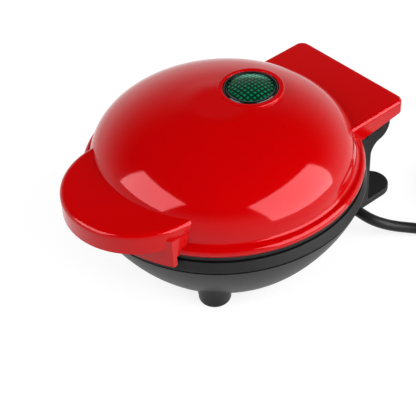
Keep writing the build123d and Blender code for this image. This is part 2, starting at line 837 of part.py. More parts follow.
lamp_top = bezel_top - lens_thickness - fit_gap
with BuildPart() as indicator_lamp:
    with BuildSketch(Plane.XY.offset(lamp_top)):
        with Locations((0, light_back)):
            Circle(lamp_radius)
    extrude(amount=-lamp_length)
    fillet(indicator_lamp.edges().group_by(Axis.Z)[-1], lamp_radius / 2)
indicator_lamp.part.label = "indicator_lamp"


def screws(places, seat, length, radius, head_radius, head_height, name, up=True):
    """Pan-head screws whose heads bear on one plane."""
    turn = 1 if up else -1
    with BuildPart() as group:
        with BuildSketch(Plane.XY.offset(seat)):
            with Locations(*places):
                Circle(head_radius)
        extrude(amount=-turn * head_height)
        outer = group.edges().filter_by(GeomType.CIRCLE).group_by(Axis.Z)[0 if up else -1]
        fillet(outer, head_height / 3)
        with BuildSketch(Plane.XY.offset(seat)):
            with Locations(*places):
                Circle(radius)
        extrude(amount=turn * length)
    group.part.label = name
    return group.part


boss_places = [
    (boss_circle_radius * cos(radians(90 + 360 * turn / boss_count)),
     boss_circle_radius * sin(radians(90 + 360 * turn / boss_count)))
    for turn in range(boss_count)
]
base_seat = bowl_clearance + shell_wall + screw_head_height
base_screws = screws(
    boss_places, base_seat - seat_gap, boss_bottom + screw_bite - base_seat,
    screw_radius, screw_head_radius, screw_head_height, "base_screws",
)
plate_seat = 2 * mirror_height - shield_bottom + seat_gap
upper_plate_screws = screws(
    boss_places, plate_seat, shield_thickness + screw_bite,
    screw_radius, screw_head_radius, screw_head_height, "upper_plate_screws", up=False,
)
stand_screws = screws(
    stand_screw_places, stand_pad_stand_off + small_head_height - seat_gap,
    stand_thickness - small_head_height + small_screw_bite,
    small_screw_radius, small_head_radius, small_head_height, "stand_screws",
)
lid_screws = screws(
    lid_screw_places, lid_face + small_head_height - seat_gap,
    lid_ring_thickness - small_head_height + small_screw_bite - 2 * seat_gap,
    small_screw_radius, small_head_radius, small_head_height, "lid_screws",
)
handle_screws = screws(
    handle_screw_places, underside_bottom - seat_gap,
    underside_thickness + small_screw_bite - 2 * seat_gap,
    small_screw_radius, small_head_radius, small_head_height, "handle_screws",
)

# Terminal block on the tower's floor, and the wires from it to the lower heater
block_back = tower_back - tower_lean - shell_wall - seat_gap
block_bottom = tower_floor + shell_wall + seat_gap
block_front = block_back - block_depth
with BuildPart() as terminal_block:
    with BuildSketch(Plane.XY.offset(block_bottom)):
        with Locations((0, block_front)):
            Rectangle(2 * block_half, block_depth, align=(Align.CENTER, Align.MIN))
    extrude(amount=block_height)
    chamfer(terminal_block.edges().filter_by(Axis.X).group_by(Axis.Z)[-1], block_depth / 6)
    with BuildSketch(Plane.XY.offset(block_bottom + block_height)):
        with Locations((0, block_front + block_depth / 2)):
            with GridLocations(block_half, 1, 2, 1):
                Circle(screw_radius)
    extrude(amount=-block_height / 2, mode=Mode.SUBTRACT)
terminal_block.part.label = "terminal_block"

cold_pin_end = heater_height - heater_leg - heater_tube_radius - cold_pin_length
wire_height = block_bottom + 0.8 * block_height
with BuildPart() as base_wires:
    for end in heater_ends:
        start = Vector(end.X, end.Y, cold_pin_end - seat_gap)
        with BuildLine() as wire_path:
            FilletPolyline(
                start,
                (end.X, end.Y, wire_height),
                (end.X, block_front - seat_gap, wire_height),
                radius=3 * wire_radius,
            )
        with BuildSketch(Plane(start)):
            Circle(wire_radius)
        sweep(path=wire_path.line)
base_wires.part.label = "base_wires"

# Strain relief: a sleeve through the tower's right wall that tapers along the cord
relief_plane = Plane.YZ.offset(tower_half - shell_wall - fit_gap - relief_inner_length + fit_gap)
relief_start = relief_plane.origin.X
relief_end = relief_start + relief_length
with BuildPart() as strain_relief:
    with BuildSketch(relief_plane):
        with Locations((cord_exit_back, cord_exit_height)):
            Circle(relief_radius)
    extrude(amount=relief_inner_length - seat_gap)
    with BuildSketch(Plane.YZ.offset(tower_half - shell_wall - seat_gap)):
        with Locations((cord_exit_back, cord_exit_height)):
            Circle(relief_radius - 2 * relief_groove_gap)
    extrude(amount=shell_wall + 2 * seat_gap)
    with BuildSketch(Plane.YZ.offset(tower_half + seat_gap)):
        with Locations((cord_exit_back, cord_exit_height)):
            Circle(relief_radius)
    with BuildSketch(Plane.YZ.offset(relief_end)):
        with Locations((cord_exit_back, cord_exit_height)):
            Circle(cord_diameter / 2 + seat_gap)
    loft()
strain_relief.part.label = "strain_relief"

# Cord: the free stretch from the strain relief to the coil, chosen by hand
cord_radius = cord_diameter / 2
cord_on_table = cord_radius + seat_gap
cord_route = [
    (relief_end, cord_exit_back, cord_exit_height),
    (43.7, 49.7, 9.0),
    (48.7, 52.5, 7.2),
    (53.6, 57.9, 4.6),
    (60.8, 66.2, cord_on_table),
    (70.5, 73.5, cord_on_table),
    (80.5, 81.5, cord_on_table),
]

# Coil: the put-away length, spiralling in on the table and out again on top of itself
coil_heading = Vector(1, 0, 0).rotate(Axis.Z, coil_start_angle + 90)
coil_outer_radius = coil_middle_radius + coil_half_turns_in * coil_pitch / 4
coil_start = Vector(*cord_route[-1]) + coil_heading * coil_approach
coil_centre = coil_start - Vector(coil_outer_radius, 0, 0).rotate(Axis.Z, coil_start_angle)
cord_route.append(tuple(coil_start - coil_heading * cord_diameter))


def coil_point(half_turns):
    """A point on the coil's centreline, counted in half turns from its start."""
    turned_in = min(half_turns, coil_half_turns_in)
    climbed = min(max(half_turns - coil_half_turns_in, 0), 1)
    turned_out = max(half_turns - coil_half_turns_in - 1, 0)
    radius = coil_outer_radius - (turned_in - turned_out) * coil_pitch / 2
    place = Vector(radius, 0, 0).rotate(Axis.Z, coil_start_angle + 180 * half_turns)
    return coil_centre + place + Vector(0, 0, climbed * coil_layer_rise)


def cord_radii(route):
    """Each corner's radius: 0.45 of its shorter run, over the tangent of half the turn."""
    spots = [Vector(*point) for point in route]
    runs = [after - before for before, after in zip(spots, spots[1:])]
    return [
        0.45 * min(one.length, two.length) / tan(radians(one.get_angle(two)) / 2)
        for one, two in zip(runs, runs[1:])
    ]


def cord_tube(route, name):
    """A round tube along straight runs and tangent arcs."""
    radii = cord_radii(route)
    with BuildPart() as tube:
        with BuildLine() as path:
            FilletPolyline(*route, radius=radii)
        start, heading = path.wire() @ 0, path.wire() % 0
        with BuildSketch(Plane(origin=start, z_dir=heading)) as section:
            Circle(cord_radius)
        sweep(section.sketch, path=path.wire())
    tube.part.label = name
    length = path.wire().length
    expected = pi * cord_radius**2 * length
    print(name, "radii", [round(r, 1) for r in radii], "length", round(length, 1))
    print(name, "volume over section times length", round(tube.part.volume / expected, 4))
    return tube.part


cord_lead = cord_tube(cord_route, "cord_lead")

coil_half_turns = coil_half_turns_in + 1 + coil_half_turns_out
half_turns_end = coil_point(coil_half_turns)
last_heading = coil_heading.rotate(Axis.Z, 180 * coil_half_turns)
half_turns_left = coil_half_turns_in - coil_half_turns_out
last_radius = coil_outer_radius - half_turns_left * coil_pitch / 2 + coil_pitch / 4
tail_heading = last_heading.rotate(Axis.Z, coil_last_turn)
with BuildPart() as cord_coil:
    with BuildLine() as coil_path:
        Line(coil_start - coil_heading * cord_diameter, coil_start)
        for half_turn in range(coil_half_turns):
            start, end = coil_point(half_turn), coil_point(half_turn + 1)
            heading = coil_heading.rotate(Axis.Z, 180 * half_turn)
            across = end - start
            top = start + across / 2 + heading * (across.length / 2)
            TangentArc(start, top, tangent=heading)
            TangentArc(top, end, tangent=across)
        last_turn = JernArc(half_turns_end, last_heading, last_radius, coil_last_turn)
        coil_end = last_turn @ 1
        Line(coil_end, coil_end + tail_heading * cord_diameter)
    with BuildSketch(Plane(origin=coil_path.wire() @ 0, z_dir=coil_heading)):
        Circle(cord_radius)
    sweep(path=coil_path.wire())
cord_coil.part.label = "cord_coil"

coil_wire = coil_path.wire()
coil_length = coil_wire.length
coil_steps = int(coil_length / cord_radius)
coil_samples = [coil_wire @ (step / coil_steps) for step in range(coil_steps + 1)]
coil_skip = int(pi * coil_middle_radius / cord_radius)
coil_gap = min(
    (one - two).length - cord_diameter
    for place, one in enumerate(coil_samples)
    for two in coil_samples[place + coil_skip:]
)
print("cord_coil length", round(coil_length, 1), "least gap to itself", round(coil_gap, 2))

# Tail: from the coil's upper layer down to the plug on the table
plug_height = plug_thickness / 2 + seat_gap
tail_start = coil_end + tail_heading * cord_diameter
tail_drop = Vector(0, 0, plug_height - tail_start.Z)
tail_route = [
    tuple(tail_start),
    tuple(tail_start + tail_heading * tail_run),
    tuple(tail_start + tail_heading * 2 * tail_run + tail_drop),
    tuple(tail_start + tail_heading * 3 * tail_run + tail_drop),
]
cord_tail = cord_tube(tail_route, "cord_tail")

# Plug: a moulded body with a tapered neck and two flat blades
plug_plane = Plane(
    origin=tail_route[-1], x_dir=tail_heading.rotate(Axis.Z, -90), z_dir=tail_heading
)
with BuildPart() as plug_body:
    with BuildSketch(plug_plane):
        Circle(cord_radius + plug_neck_wall)
    with BuildSketch(plug_plane.offset(plug_neck_length)):
        Circle(plug_thickness / 3)
    loft()
    with BuildSketch(plug_plane.offset(plug_neck_length)):
        Circle(plug_thickness / 3)
    with BuildSketch(plug_plane.offset(plug_neck_length + plug_shoulder)):
        Ellipse(plug_width / 2, plug_thickness / 2)
    loft()
    with BuildSketch(plug_plane.offset(plug_neck_length + plug_shoulder)):
        Ellipse(plug_width / 2, plug_thickness / 2)
    extrude(amount=plug_grip)
    front = plug_body.faces().sort_by(Axis(plug_plane.origin, plug_plane.z_dir))[-1]
    chamfer(front.edges(), plug_edge)
plug_body.part.label = "plug_body"

with BuildPart() as plug_blades:
    with BuildSketch(plug_plane.offset(plug_neck_length + plug_shoulder + plug_grip)):
        with GridLocations(blade_spacing, 1, 2, 1):
            Rectangle(blade_thickness, blade_width)
    extrude(amount=blade_length)
    tips = plug_blades.edges().group_by(Axis(plug_plane.origin, plug_plane.z_dir))[-1]
    chamfer(tips.filter_by(lambda e: e.length > blade_width / 2), blade_thickness / 3)
plug_blades.part.label = "plug_blades"

pieces = [
    lid_cover, lid_liner, handle_underside, upper_grid_plate, upper_heater, upper_heat_shield,
    thermal_fuse, indicator_lens, lens_bezel, indicator_lamp, lid_screws, handle_screws,
    upper_plate_screws, base_bowl, base_ring, lower_grid_plate, lower_heater,
    lower_heat_shield, thermostat, terminal_block, base_wires, hinge_pin, front_foot_left,
    front_foot_right, rear_stand, rear_pads, stand_screws, base_screws, strain_relief,
    cord_lead, cord_coil, cord_tail, plug_body, plug_blades,
]
for piece in pieces:
    solid = piece.part if isinstance(piece, BuildPart) else piece
    export_step(solid, f"parts/{solid.label}.step")
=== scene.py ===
"""The looks of a mini waffle maker: red glossy cover, black satin base, green light, cord and plug."""

import math

import bpy
from mathutils import Matrix, Vector


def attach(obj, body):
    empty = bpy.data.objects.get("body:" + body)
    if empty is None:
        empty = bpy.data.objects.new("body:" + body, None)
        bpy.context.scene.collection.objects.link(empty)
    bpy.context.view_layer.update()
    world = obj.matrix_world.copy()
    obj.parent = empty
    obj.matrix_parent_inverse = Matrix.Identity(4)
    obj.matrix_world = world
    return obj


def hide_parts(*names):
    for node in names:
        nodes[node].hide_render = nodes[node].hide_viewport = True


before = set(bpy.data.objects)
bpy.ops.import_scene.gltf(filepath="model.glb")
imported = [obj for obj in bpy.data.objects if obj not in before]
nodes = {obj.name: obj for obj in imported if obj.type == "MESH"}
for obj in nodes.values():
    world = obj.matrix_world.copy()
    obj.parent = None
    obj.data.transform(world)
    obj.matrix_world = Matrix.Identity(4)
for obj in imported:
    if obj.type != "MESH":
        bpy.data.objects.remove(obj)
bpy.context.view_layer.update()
scene = bpy.context.scene
scene.view_settings.view_transform = "Standard"

# The photograph's view, found from the outlines of the cover, the handle and the feet.
view_azimuth = math.radians(51.83)
view_elevation = math.radians(41.08)
view_roll = math.radians(-3.68)
view_distance = 0.58545
view_target = Vector((-0.00508, -0.00647, 0.01782))
view_lens = 107.95

back = Vector(
    (
        math.sin(view_azimuth) * math.cos(view_elevation),
        -math.cos(view_azimuth) * math.cos(view_elevation),
        math.sin(view_elevation),
    )
)
level_right = Vector((math.cos(view_azimuth), math.sin(view_azimuth), 0))
level_up = back.cross(level_right)
camera_right = level_right * math.cos(view_roll) + level_up * math.sin(view_roll)
camera_up = level_up * math.cos(view_roll) - level_right * math.sin(view_roll)

camera_data = bpy.data.cameras.new("camera")
camera_data.lens = view_lens
camera_data.sensor_width = 36
camera_data.clip_start = 0.01
camera = bpy.data.objects.new("camera", camera_data)
scene.collection.objects.link(camera)
camera.matrix_world = Matrix.Translation(view_target + back * view_distance) @ (
    Matrix((camera_right, camera_up, back)).transposed().to_4x4()
)
scene.camera = camera

# The mains cord: out of the strain relief, round the rear stand, into a flat coil and to the plug.
cord_diameter = 0.0052
table_height = 0.0027
second_layer = 0.0085
lead_points = (
    (0.03835, 0.04930, 0.0096),
    (0.04370, 0.04970, 0.0090),
    (0.04870, 0.05250, 0.0072),
    (0.05360, 0.05790, 0.0046),
    (0.06080, 0.06620, table_height),
    (0.07050, 0.07350, table_height),
    (0.08050, 0.08150, table_height),
    (0.08969, 0.08921, table_height),
)
coil_centre = Vector((0.07099, 0.11960))
coil_outer_radius = 0.0353
coil_pitch = 0.0068
coil_start_angle = math.radians(-50)
coil_turns_in = 2.0
coil_turn_up = 0.5
coil_turns_out = 1.5
coil_last_turn = 140 / 360
points_per_turn = 16
tail_points = (
    (0.06469, 0.15450, second_layer),
    (0.05669, 0.15450, 0.0083),
    (0.04869, 0.15450, 0.0076),
    (0.04069, 0.15450, 0.0076),
)


def coil_point(turn):
    """A point of the coil's line: in along the table, up half a turn, and out on top."""
    if turn <= coil_turns_in:
        radius = coil_outer_radius - coil_pitch * turn
        height = table_height
    elif turn <= coil_turns_in + coil_turn_up:
        radius = coil_outer_radius - coil_pitch * coil_turns_in
        rise = (turn - coil_turns_in) / coil_turn_up
        height = table_height + (second_layer - table_height) * rise * rise * (3 - 2 * rise)
    else:
        radius = coil_outer_radius - coil_pitch * (2 * coil_turns_in + coil_turn_up - turn)
        height = second_layer
    angle = coil_start_angle + math.tau * turn
    across = Vector((math.cos(angle), math.sin(angle))) * radius
    return coil_centre.x + across.x, coil_centre.y + across.y, height


all_turns = coil_turns_in + coil_turn_up + coil_turns_out + coil_last_turn
coil_steps = round(all_turns * points_per_turn)
coil_points = [coil_point(all_turns * step / coil_steps) for step in range(coil_steps + 1)]
route = [*lead_points, *coil_points, *tail_points]

cord_curve = bpy.data.curves.new("mains_cord", "CURVE")
cord_curve.dimensions = "3D"
cord_curve.bevel_depth = 1.0
cord_curve.bevel_resolution = 6
cord_curve.use_fill_caps = True
cord_curve.resolution_u = 12
cord_line = cord_curve.splines.new("NURBS")
cord_line.points.add(len(route) - 1)
for point, place in zip(cord_line.points, route):
    point.co = (*place, 1)
    point.radius = cord_diameter / 2
cord_line.order_u = 3
cord_line.use_endpoint_u = True
mains_cord = bpy.data.objects.new("mains_cord", cord_curve)
scene.collection.objects.link(mains_cord)
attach(mains_cord, "base")
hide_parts("cord_lead", "cord_coil", "cord_tail")


# Formed pieces over the rigid ones: the cover's skin, the light's edges, the feet, the shoulders by the
# hinge and a black band of painted shade at the parting line.
def slot_of(node):
    """The record's material slot of a CAD node."""
    return node.data.materials[0].name.split(".")[0]


formed = []


def add_piece(name, verts, faces, body, finish, smooth=True):
    """A mesh that moves with a body. It gets its material when the finishes are made."""
    mesh = bpy.data.meshes.new(name)
    mesh.from_pydata(verts, [], faces)
    if smooth:
        mesh.shade_smooth()
    piece = bpy.data.objects.new(name, mesh)
    scene.collection.objects.link(piece)
    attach(piece, body)
    formed.append((piece, finish))
    return piece


def lathe(name, outline, body, finish, centre=(0.0, 0.0), steps=192, keep_out=None):
    """A turned piece about an upright axis, from (radius, height) pairs.

    Faces inside the disc keep_out, which is (x, y, radius), are left out.
    """
    verts, faces = [], []
    for radius, height in outline:
        for step in range(steps):
            angle = math.tau * step / steps
            x = centre[0] + radius * math.cos(angle)
            y = centre[1] + radius * math.sin(angle)
            verts.append((x, y, height))
    for ring in range(len(outline) - 1):
        for step in range(steps):
            after = (step + 1) % steps
            corners = (
                ring * steps + step,
                ring * steps + after,
                (ring + 1) * steps + after,
                (ring + 1) * steps + step,
            )
            if keep_out and math.dist(verts[corners[0]][:2], keep_out[:2]) < keep_out[2]:
                continue
            faces.append(corners)
    return add_piece(name, verts, faces, body, finish)


def bend(centre, radius, first, last, steps=10):
    """Points of an arc from one angle to the other, in degrees."""
    angles = [math.radians(first + (last - first) * step / steps) for step in range(steps + 1)]
    return [(centre[0] + radius * math.cos(angle), centre[1] + radius * math.sin(angle)) for angle in angles]


# A ring this small closes a turned piece at its axis.
axis_radius = 0.00001
light_centre = (0.0, 0.018)

# The cover's skin: the rim, the cove over it, the dome, and the gaps that keep it clear of the solid cover.
# The solid dome swells a little round its top, and the skin swells with it.
rim_radius = 0.06430
rim_bottom = 0.04578
rim_lip = 0.0006
rim_lip_rise = 0.00005
rim_top = 0.04910
rim_bend = 0.0022
cove_radius = 0.00175
dome_foot = 0.0488
dome_radius = 0.0603
dome_height = 0.0288
dome_power = 2.4
dome_steps = 180
dome_start = 0.0002
side_gap = 0.00004
low_gap = 0.00003
high_gap = 0.00007
high_gap_from = 0.043
high_gap_fade = 0.002
swell_height = 0.00027
swell_radius = 0.0135
swell_width = 0.0055
light_opening = 0.0139


def cover_outline():
    """The cover's outline: rolled rim, cove and a superellipse up to the top."""
    outline = [(rim_radius - rim_lip, rim_bottom), (rim_radius, rim_bottom + rim_lip_rise)]
    outline += bend((rim_radius - rim_bend, rim_top - rim_bend), rim_bend, 0, 90, 14)
    outline += bend((dome_radius + side_gap + cove_radius, rim_top + cove_radius), cove_radius, 270, 180)
    for step in range(1, dome_steps):
        angle = math.pi / 2 * step / dome_steps
        radius = dome_radius * math.cos(angle) ** (2 / dome_power)
        height = dome_foot + dome_height * math.sin(angle) ** (2 / dome_power)
        if height < rim_top + cove_radius + dome_start:
            continue
        fade = 1 + math.exp((radius - high_gap_from) / high_gap_fade)
        gap = low_gap + (high_gap - low_gap) / fade
        swell = swell_height * math.exp(-(((radius - swell_radius) / swell_width) ** 2))
        outline.append((radius + side_gap, height + gap + swell))
    outline.append((axis_radius, dome_foot + dome_height + high_gap))
    return outline


lathe(
    "lid_skin",
    cover_outline(),
    "lid",
    "red_gloss",
    steps=256,
    keep_out=(*light_centre, light_opening),
)

# The collar round the light, from its skirt outside over the rounded top to its lining inside.
collar_inner = 0.01268
collar_outer = 0.01500
collar_top = 0.07776
collar_flare = 0.0001
collar_skirt = 0.0050
collar_lining = 0.0030
collar_outer_bend = 0.0005
collar_inner_bend = 0.0003
collar_outer_middle = (collar_outer - collar_outer_bend, collar_top - collar_outer_bend)
collar_inner_middle = (collar_inner + collar_inner_bend, collar_top - collar_inner_bend)
lathe(
    "lens_collar",
    [
        (collar_outer + collar_flare, collar_top - collar_skirt),
        *bend(collar_outer_middle, collar_outer_bend, 8, 90, 8),
        *bend(collar_inner_middle, collar_inner_bend, 90, 180, 6),
        (collar_inner, collar_top - collar_lining),
    ],
    "lid",
    "red_gloss",
    centre=light_centre,
)

# The rounded black edge between collar and lens.
edge_outside = ((collar_inner, 0.07740), (0.01235, 0.07744))
edge_middle = (0.01150, 0.07705)
edge_bend = 0.0008
edge_inside = ((0.01082, 0.07784), (0.01080, 0.07782), (0.01080, 0.07730))
lathe(
    "lens_edge",
    [*edge_outside, *bend(edge_middle, edge_bend, 20, 90, 12), *edge_inside],
    "lid",
    "gloss_black",
    centre=light_centre,
)

# Painted shade: a black band at the top edge of the base ring, standing for the shadow in the parting gap.
shade_radius = 0.06404
shade_top = 0.04302
shade_height = 0.00052
shade_width = 0.0011
shade_rise = 0.00002
lathe(
    "parting_shade",
    [
        (shade_radius, shade_top - shade_height),
        (shade_radius, shade_top),
        (shade_radius - shade_width, shade_top + shade_rise),
    ],
    "base",
    "shade_black",
)

# The front feet flare into the bowl. The shoulders close the gap between base ring and tower.
foot_side = 0.028
foot_place_y = -0.0316
foot_sole_radius = 0.0074
foot_bend = 0.0022
foot_top = 0.0160
foot_wall = ((0.0077, 0.0055), (0.0081, 0.0085), (0.0086, 0.0112), (0.0093, 0.0135), (0.0096, foot_top))
foot_outline = [
    (axis_radius, 0.0),
    *bend((foot_sole_radius - foot_bend, foot_bend), foot_bend, 270, 360),
    *foot_wall,
    (axis_radius, foot_top),
]
shoulder_sides = (0.0225, 0.03178)
shoulder_depth = (0.0560, 0.0630)
shoulder_heights = (0.0350, 0.0429)
box_faces = ((0, 1, 3, 2), (4, 6, 7, 5), (0, 4, 5, 1), (2, 3, 7, 6), (0, 2, 6, 4), (1, 5, 7, 3))
for side, sign in (("left", -1), ("right", 1)):
    foot = lathe(
        f"foot_{side}",
        foot_outline,
        "base",
        "black_satin",
        centre=(sign * foot_side, foot_place_y),
        steps=96,
    )
    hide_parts(f"front_foot_{side}")
    across = sorted(sign * reach for reach in shoulder_sides)
    add_piece(
        f"hinge_shoulder_{side}",
        [(x, y, z) for x in across for y in shoulder_depth for z in shoulder_heights],
        box_faces,
        "base",
        "black_satin",
        smooth=False,
    )


# Materials. Distances inside them are metres, and patterns follow the object's own coordinates.
def new_material(name):
    material = bpy.data.materials.new(name)
    material.use_nodes = True
    return material, material.node_tree, material.node_tree.nodes["Principled BSDF"]


def noise(tree, grains_per_metre, detail=3.0):
    """A cloud pattern in the object's own coordinates."""
    place = tree.nodes.new("ShaderNodeTexCoord")
    texture = tree.nodes.new("ShaderNodeTexNoise")
    texture.inputs["Scale"].default_value = grains_per_metre
    texture.inputs["Detail"].default_value = detail
    tree.links.new(place.outputs["Object"], texture.inputs["Vector"])
    return texture.outputs["Fac"]


def spread(tree, value, low, high):
    """The middle of a noise, spread from low to high."""
    node = tree.nodes.new("ShaderNodeMapRange")
    node.inputs["From Min"].default_value = 0.3
    node.inputs["From Max"].default_value = 0.7
    node.inputs["To Min"].default_value = low
    node.inputs["To Max"].default_value = high
    tree.links.new(value, node.inputs["Value"])
    return node.outputs["Result"]


def mixed_colour(tree, factor, first, second):
    """The first colour where the factor is 0 and the second where it is 1."""
    node = tree.nodes.new("ShaderNodeMix")
    node.data_type = "RGBA"
    node.inputs["A"].default_value = (*first, 1)
    node.inputs["B"].default_value = (*second, 1)
    tree.links.new(factor, node.inputs["Factor"])
    return node.outputs["Result"]


def relief(tree, height, depth, under=None):
    """The surface's direction over a height pattern, on top of another relief if there is one."""
    node = tree.nodes.new("ShaderNodeBump")
    node.inputs["Distance"].default_value = depth
    node.inputs["Strength"].default_value = 1.0
    tree.links.new(height, node.inputs["Height"])
    if under is not None:
        tree.links.new(under, node.inputs["Normal"])
    return node.outputs["Normal"]


def moulded(
    name,
    colour,
    worn_colour,
    roughness,
    grain,
    grain_depth,
    specular=0.5,
    tint=(1.0, 1.0, 1.0),
    metallic=0.0,
    waviness=60,
    wave_depth=0.0,
):
    """A plastic, rubber or metal surface with uneven colour and gloss, a fine grain and slow waves."""
    material, tree, shader = new_material(name)
    cloud = noise(tree, waviness)
    fine = noise(tree, grain, 4.0)
    tree.links.new(
        mixed_colour(tree, spread(tree, cloud, 0.0, 1.0), colour, worn_colour),
        shader.inputs["Base Color"],
    )
    tree.links.new(spread(tree, fine, *roughness), shader.inputs["Roughness"])
    normal = relief(tree, fine, grain_depth)
    if wave_depth:
        normal = relief(tree, cloud, wave_depth, under=normal)
    tree.links.new(normal, shader.inputs["Normal"])
    shader.inputs["Specular IOR Level"].default_value = specular
    shader.inputs["Specular Tint"].default_value = (*tint, 1)
    shader.inputs["Metallic"].default_value = metallic
    return material


finishes = {
    "red_gloss": moulded(
        "red_gloss",
        (0.46, 0.0, 0.0),
        (0.445, 0.0, 0.001),
        (0.06, 0.10),
        1400,
        0.0000008,
        specular=0.50,
        tint=(1.0, 0.34, 0.37),
        wave_depth=0.000006,
    ),
    "black_satin": moulded(
        "black_satin",
        (0.010, 0.010, 0.010),
        (0.014, 0.014, 0.014),
        (0.38, 0.50),
        2600,
        0.00003,
        specular=0.15,
    ),
    "nonstick": moulded(
        "nonstick",
        (0.017, 0.017, 0.018),
        (0.026, 0.025, 0.025),
        (0.26, 0.42),
        1800,
        0.00003,
    ),
    "steel": moulded(
        "steel",
        (0.50, 0.50, 0.49),
        (0.62, 0.61, 0.60),
        (0.24, 0.40),
        2200,
        0.00001,
        metallic=1.0,
    ),
    "pin_dark": moulded(
        "pin_dark",
        (0.012, 0.012, 0.012),
        (0.020, 0.019, 0.018),
        (0.40, 0.55),
        2200,
        0.00001,
        specular=0.2,
    ),
    "gloss_black": moulded(
        "gloss_black",
        (0.002, 0.002, 0.002),
        (0.003, 0.003, 0.003),
        (0.08, 0.14),
        1400,
        0.0000005,
        specular=0.5,
    ),
    # The painted shade of the parting line: near black and almost without gloss.
    "shade_black": moulded(
        "shade_black",
        (0.0015, 0.0015, 0.0015),
        (0.0025, 0.0025, 0.0025),
        (0.70, 0.85),
        2200,
        0.00001,
        specular=0.02,
    ),
    "rubber": moulded(
        "rubber",
        (0.018, 0.018, 0.018),
        (0.030, 0.029, 0.028),
        (0.55, 0.75),
        2000,
        0.00004,
    ),
    "cord_black": moulded(
        "cord_black",
        (0.009, 0.009, 0.009),
        (0.013, 0.013, 0.013),
        (0.30, 0.42),
        1500,
        0.00002,
        specular=0.22,
    ),
    "insulation": moulded(
        "insulation",
        (0.62, 0.58, 0.50),
        (0.70, 0.67, 0.60),
        (0.45, 0.60),
        1800,
        0.00003,
    ),
    "brass_blade": moulded(
        "brass_blade",
        (0.62, 0.50, 0.26),
        (0.72, 0.60, 0.34),
        (0.18, 0.32),
        2400,
        0.00001,
        metallic=1.0,
    ),
    "lamp_glass": moulded(
        "lamp_glass",
        (0.55, 0.60, 0.52),
        (0.65, 0.70, 0.60),
        (0.10, 0.18),
        900,
        0.00001,
    ),
}

# The lens: moulded prisms in two crossed rows, seen through a smooth clear green dome.
# Its far edge is painted paler: a painted reflection of the pale walls on the dome.
prism_pitch = 0.00210
prism_depth = 0.0009
prism_gap_height = 0.06
prism_top_height = 0.42
lens_gap_colour = (0.0, 0.004, 0.0015)
lens_prism_colour = (0.0, 0.17, 0.07)
# Painted reflection: this pale turquoise stands in for the walls mirrored on the far side of the dome.
lens_painted_reflection_colour = (0.22, 0.72, 0.51)
painted_reflection_from = 0.0070
painted_reflection_full = 0.0155
painted_reflection_in_gaps = 0.4
painted_reflection_on_prisms = 0.6
lens_material, lens_tree, lens_shader = new_material("lens_green")
lens_place = lens_tree.nodes.new("ShaderNodeTexCoord")
lens_rows = lens_tree.nodes.new("ShaderNodeMapping")
lens_rows.inputs["Scale"].default_value = (1 / prism_pitch, 1 / prism_pitch, 1 / prism_pitch)
lens_tree.links.new(lens_place.outputs["Object"], lens_rows.inputs["Vector"])
lens_axes = lens_tree.nodes.new("ShaderNodeSeparateXYZ")
lens_tree.links.new(lens_rows.outputs["Vector"], lens_axes.inputs["Vector"])


def lens_math(operation, first, second):
    """A sum of two values, where each is a number or another node's output."""
    node = lens_tree.nodes.new("ShaderNodeMath")
    node.operation = operation
    for socket, value in zip(node.inputs, (first, second)):
        if isinstance(value, (int, float)):
            socket.default_value = value
        else:
            lens_tree.links.new(value, socket)
    return node.outputs["Value"]


ridges = [lens_math("PINGPONG", lens_axes.outputs[axis], 0.5) for axis in ("X", "Y")]
prism_height = lens_math("MINIMUM", *ridges)
facet = lens_tree.nodes.new("ShaderNodeMapRange")
facet.inputs["From Min"].default_value = prism_gap_height
facet.inputs["From Max"].default_value = prism_top_height
lens_tree.links.new(prism_height, facet.inputs["Value"])
# The painted reflection fades in towards the far left of the lens, more over the prisms than over the gaps.
painted_reflection_zone = lens_tree.nodes.new("ShaderNodeMapRange")
painted_reflection_zone.interpolation_type = "SMOOTHSTEP"
painted_reflection_zone.inputs["From Min"].default_value = (light_centre[1] + painted_reflection_from) / prism_pitch
painted_reflection_zone.inputs["From Max"].default_value = (light_centre[1] + painted_reflection_full) / prism_pitch
far_left = lens_math("SUBTRACT", lens_axes.outputs["Y"], lens_axes.outputs["X"])
lens_tree.links.new(far_left, painted_reflection_zone.inputs["Value"])
painted_reflection_share = lens_math(
    "ADD", lens_math("MULTIPLY", facet.outputs["Result"], painted_reflection_on_prisms), painted_reflection_in_gaps
)
painted_reflection_mix = lens_tree.nodes.new("ShaderNodeMix")
painted_reflection_mix.data_type = "RGBA"
painted_reflection_mix.inputs["B"].default_value = (*lens_painted_reflection_colour, 1)
lens_tree.links.new(
    lens_math("MULTIPLY", painted_reflection_zone.outputs["Result"], painted_reflection_share), painted_reflection_mix.inputs["Factor"]
)
lens_tree.links.new(
    mixed_colour(lens_tree, facet.outputs["Result"], lens_gap_colour, lens_prism_colour),
    painted_reflection_mix.inputs["A"],
)
lens_tree.links.new(painted_reflection_mix.outputs["Result"], lens_shader.inputs["Base Color"])
lens_tree.links.new(relief(lens_tree, prism_height, prism_depth), lens_shader.inputs["Normal"])
lens_shader.inputs["Roughness"].default_value = 0.16
lens_shader.inputs["Specular IOR Level"].default_value = 0.02
lens_shader.inputs["Coat Weight"].default_value = 0.35
lens_shader.inputs["Coat Roughness"].default_value = 0.03
finishes["lens_green"] = lens_material

for node in nodes.values():
    node.data.materials[0] = finishes[slot_of(node)]
mains_cord.data.materials.append(finishes["cord_black"])
nodes["hinge_pin"].data.materials[0] = finishes["pin_dark"]
for piece, finish in formed:
    piece.data.materials.append(finishes[finish])


# Two soft boxes, a white floor and a pale studio round the object.
lamp_aim = Vector((0, 0, 0.05))


